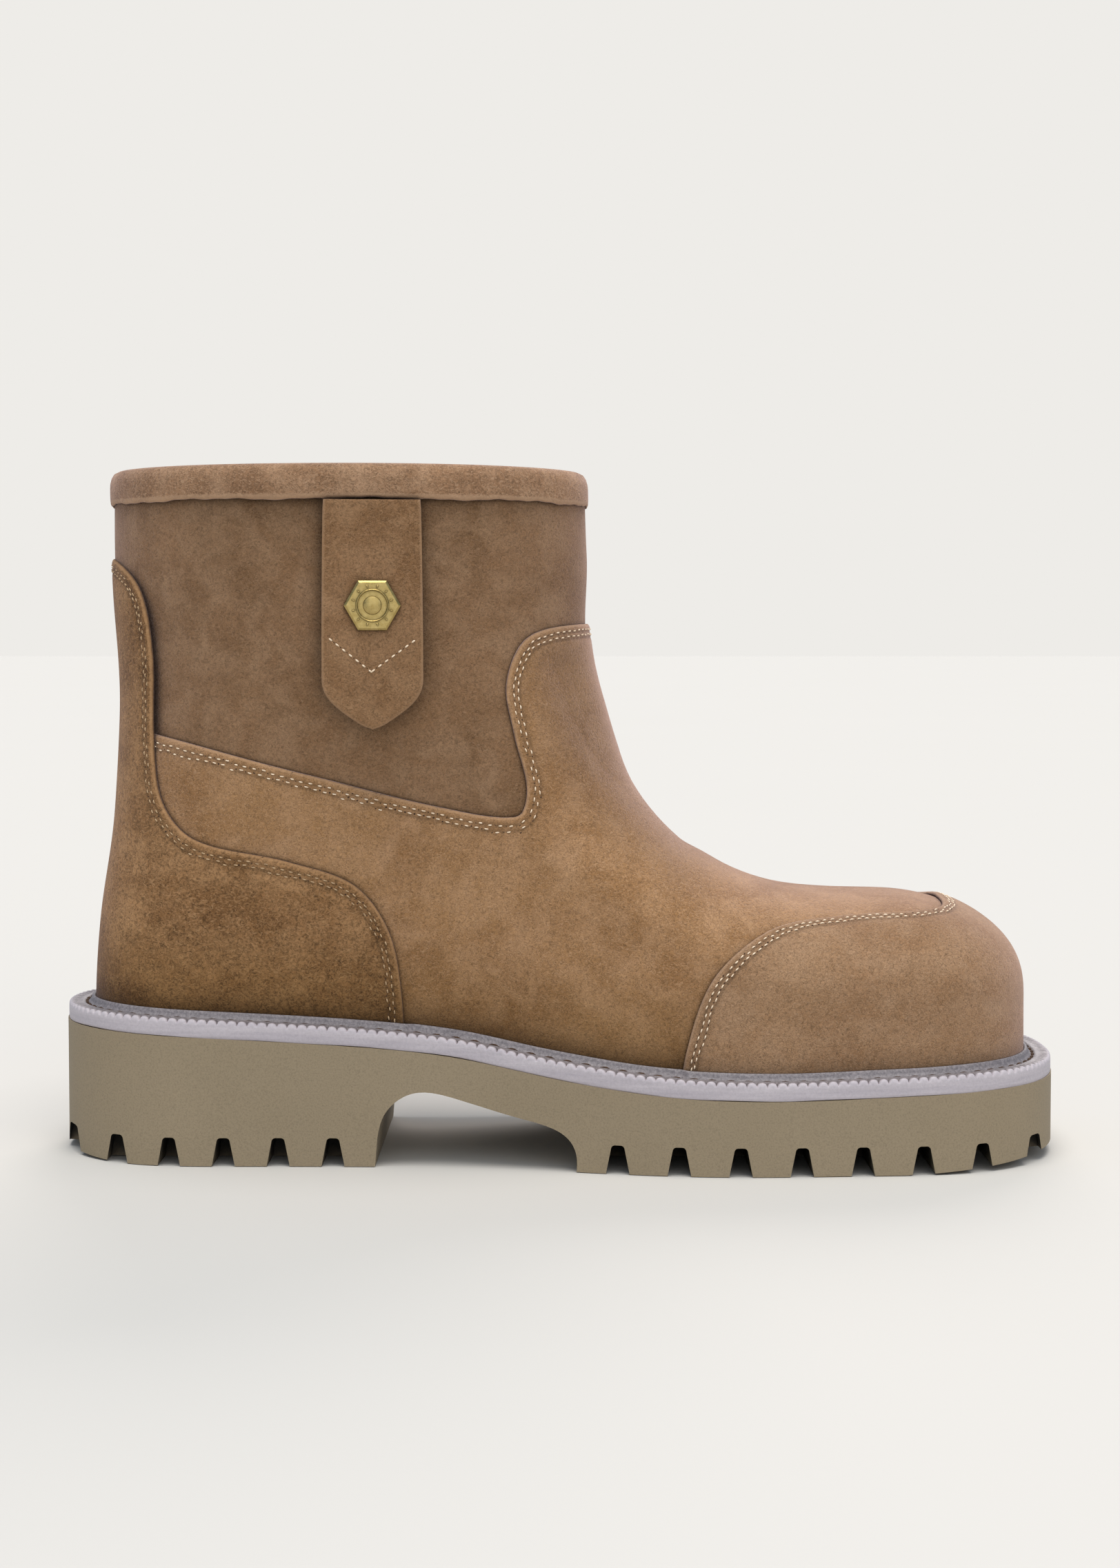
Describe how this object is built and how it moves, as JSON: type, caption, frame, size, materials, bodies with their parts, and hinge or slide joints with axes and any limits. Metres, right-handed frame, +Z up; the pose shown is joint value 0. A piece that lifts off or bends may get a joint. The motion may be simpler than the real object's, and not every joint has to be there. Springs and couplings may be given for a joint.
{
  "type": "steel toe work boot",
  "caption": "Right-foot pull-on suede work boot with a lugged rubber sole, a steel toe cap inside and a side pull tab.",
  "frame": {"origin": "on the ground under the middle of the sole's bounding box", "axes": "+X from heel to toe, -Y the outer side of the foot, +Z up"},
  "size_m": [0.3105, 0.1189, 0.2112],
  "materials": {
    "khaki_rubber": "matte moulded rubber, khaki",
    "pale_midsole": "sanded pale grey edge",
    "grey_welt": "matte, milled edge, pale side",
    "cork": "granulated cork",
    "spring_steel": "plain spring steel",
    "board": "fibre board",
    "footbed_foam": "textile over foam",
    "cap_steel": "black epoxy coated steel",
    "bumper_rubber": "soft matte strip",
    "lining_textile": "woven lining",
    "lining_leather": "smooth lining leather",
    "shaft_suede": "suede, brown",
    "vamp_suede": "suede, tan brown",
    "overlay_suede": "suede, brown",
    "tab_suede": "suede, brown",
    "badge_brass": "polished brass",
    "thread": "waxed cream thread"
  },
  "bodies": {
    "boot": {"outsole": "khaki_rubber", "midsole": "pale_midsole", "storm_welt": "grey_welt", "cork_filler": "cork", "steel_shank": "spring_steel", "insole_board": "board", "footbed": "footbed_foam", "steel_toe_cap": "cap_steel", "toe_cap_bumper": "bumper_rubber", "heel_stiffener": "board", "foot_lining": "lining_textile", "shaft_lining": "lining_leather", "shaft": "shaft_suede", "vamp": "vamp_suede", "toe_cap_cover": "overlay_suede", "backstay": "overlay_suede", "collar_band": "overlay_suede"},
    "pull_tab": {"tab_outer": "tab_suede", "tab_backing": "tab_suede", "badge": "badge_brass", "badge_post": "badge_brass", "badge_washer": "badge_brass"}
  },
  "joints": [
    {"name": "tab_swing", "type": "hinge", "parent": "boot", "child": "pull_tab", "pos_m": [-0.055, -0.05279, 0.2002], "axis": [-0.9961, -0.0881, 0], "range_deg": [0, 115]}
  ]
}
